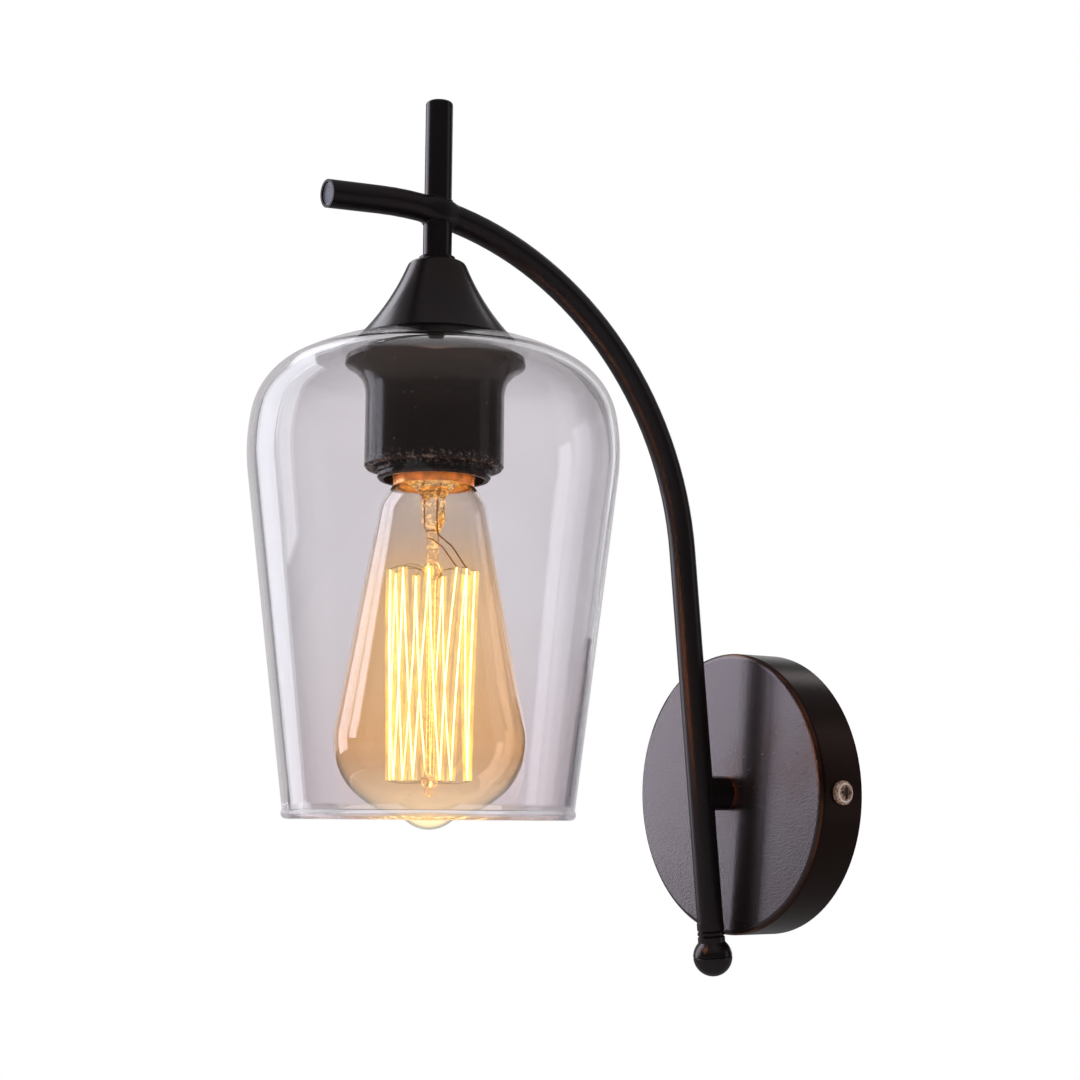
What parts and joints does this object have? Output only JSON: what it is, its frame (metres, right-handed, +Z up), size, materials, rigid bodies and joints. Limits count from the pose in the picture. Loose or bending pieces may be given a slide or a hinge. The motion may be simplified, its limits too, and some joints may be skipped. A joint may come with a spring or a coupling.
{
  "type": "hanging pendant wall sconce",
  "caption": "Wall sconce with a round canopy, a curved tube arm and a tapered clear glass shade hung from it under a flared cone, with a screw-in filament bulb.",
  "frame": {"origin": "the canopy's axis on the wall plane, at the back of the wall bracket", "axes": "+Y into the wall, -Y out into the room, +Z up, X along the wall"},
  "size_m": [0.125, 0.2085, 0.3003],
  "materials": {
    "bronze_black": "satin black with a warm bronze undertone and a fine orange-peel grain",
    "plug_steel": "satin grey",
    "zinc_steel": "zinc plated",
    "brass": "satin",
    "bright_wire": "drawn",
    "bakelite": "black moulded plastic, half gloss",
    "porcelain": "white ceramic",
    "clear_plastic": "milky white plastic",
    "shade_glass": "clear with a faint grey tint",
    "amber_glass": "clear amber",
    "stem_glass": "clear",
    "cap_insulator": "black glass",
    "filament": "glowing",
    "brown_lead": "PVC sleeve",
    "blue_lead": "PVC sleeve"
  },
  "bodies": {
    "lamp": {"wall_bracket": "zinc_steel", "ground_screw": "brass", "ground_washer": "zinc_steel", "canopy": "bronze_black", "canopy_side_screws": "zinc_steel", "arm_stub": "bronze_black", "stub_nipple": "zinc_steel", "stub_washer": "zinc_steel", "stub_nut": "zinc_steel", "arm_tube": "bronze_black", "arm_tip_plug": "plug_steel", "ball_finial": "bronze_black", "upper_rod": "bronze_black", "lower_stem": "bronze_black", "stem_collar": "bronze_black", "stem_nipple": "zinc_steel", "cone_cap": "bronze_black", "cone_nut": "zinc_steel", "lampholder_cap": "bakelite", "lampholder_sleeve": "bakelite", "lampholder_insert": "porcelain", "screw_shell": "brass", "contact_spring": "brass", "socket_terminals": "brass", "socket_terminal_screws": "bright_wire", "terminal_block": "clear_plastic", "connector_poles": "brass", "connector_screws": "bright_wire", "live_lead": "brown_lead", "neutral_lead": "blue_lead"},
    "shade": {"glass_shade": "shade_glass"},
    "ring": {"shade_ring": "bakelite"},
    "bulb_end": {"bulb_end_contact": "brass"},
    "bulb": {"bulb_glass": "amber_glass", "bulb_screw_cap": "brass", "bulb_insulator": "cap_insulator", "bulb_stem": "stem_glass", "bulb_hooks": "bright_wire", "bulb_lead_wires": "bright_wire", "bulb_filament": "filament"}
  },
  "joints": [
    {"name": "shade_drop", "type": "slide", "parent": "lamp", "child": "shade", "axis": [0, 0, -1], "range_m": [0, 0.01]},
    {"name": "ring_turn", "type": "hinge", "parent": "shade", "child": "ring", "pos_m": [0, -0.146, 0.12], "axis": [0, 0, -1], "range_deg": [0, 1440]},
    {"name": "bulb_drop", "type": "slide", "parent": "lamp", "child": "bulb_end", "axis": [0, 0, -1], "range_m": [0, 0.01452]},
    {"name": "bulb_turn", "type": "hinge", "parent": "bulb_end", "child": "bulb", "pos_m": [0, -0.146, 0.1], "axis": [0, 0, -1], "range_deg": [0, 1440]}
  ],
  "couplings": [
    {"joint": "ring_turn", "follows": "shade_drop", "rad_per_m": 2513.3},
    {"joint": "bulb_turn", "follows": "bulb_drop", "rad_per_m": 1731.4}
  ]
}
